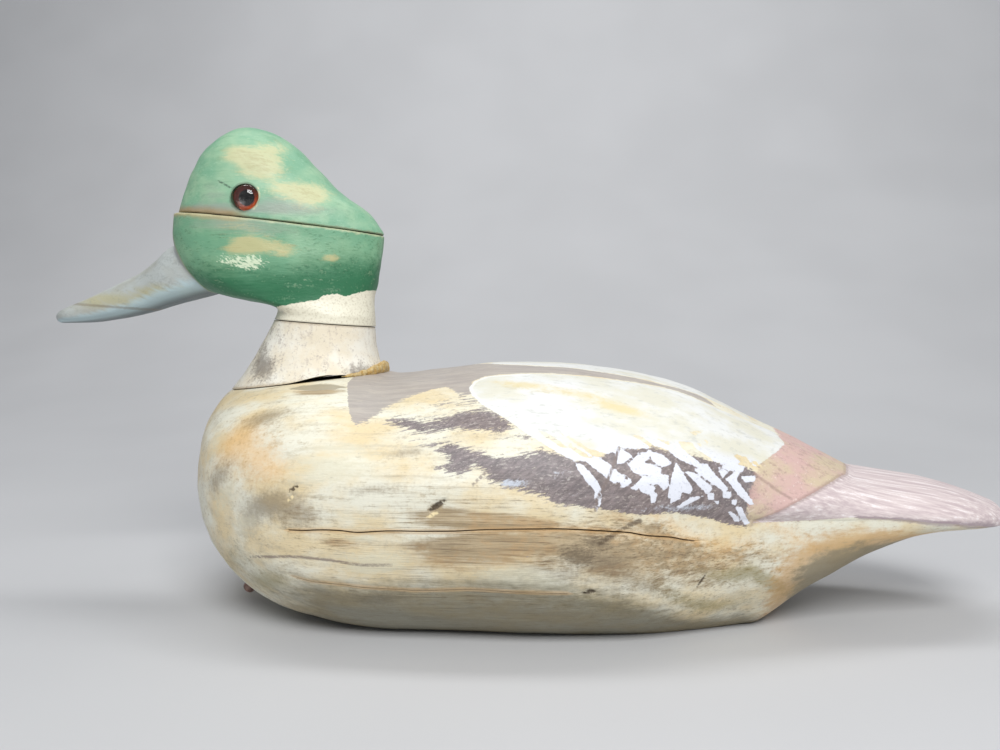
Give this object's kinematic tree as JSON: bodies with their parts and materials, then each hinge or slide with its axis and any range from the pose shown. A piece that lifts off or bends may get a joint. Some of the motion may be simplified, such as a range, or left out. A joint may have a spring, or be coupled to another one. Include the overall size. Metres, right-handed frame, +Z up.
{
  "type": "duck decoy",
  "caption": "Carved wooden duck decoy with a raised head, glass eyes and a flat underside, built from a body block, a neck block and stacked head boards.",
  "frame": {"origin": "on the underside, under the middle of the overall length and width", "axes": "+X towards the tail and -X towards the bill, -Y towards the duck's left side, +Z up"},
  "size_m": [0.432, 0.152, 0.2168],
  "materials": {
    "painted_body": "worn matt paint over bare weathered wood",
    "painted_neck": "worn matt off-white paint",
    "green_cheek": "worn satin green paint, grey bill",
    "green_crown": "worn satin pale green paint",
    "eye_glass": "polished red-brown glass with a dark pupil",
    "peg_wood": "bare worn wood"
  },
  "bodies": {
    "root": {"body": "painted_body", "neck": "painted_neck", "head_cheek": "green_cheek", "head_crown": "green_crown", "eye_left": "eye_glass", "eye_right": "eye_glass", "line_peg": "peg_wood"}
  },
  "joints": []
}
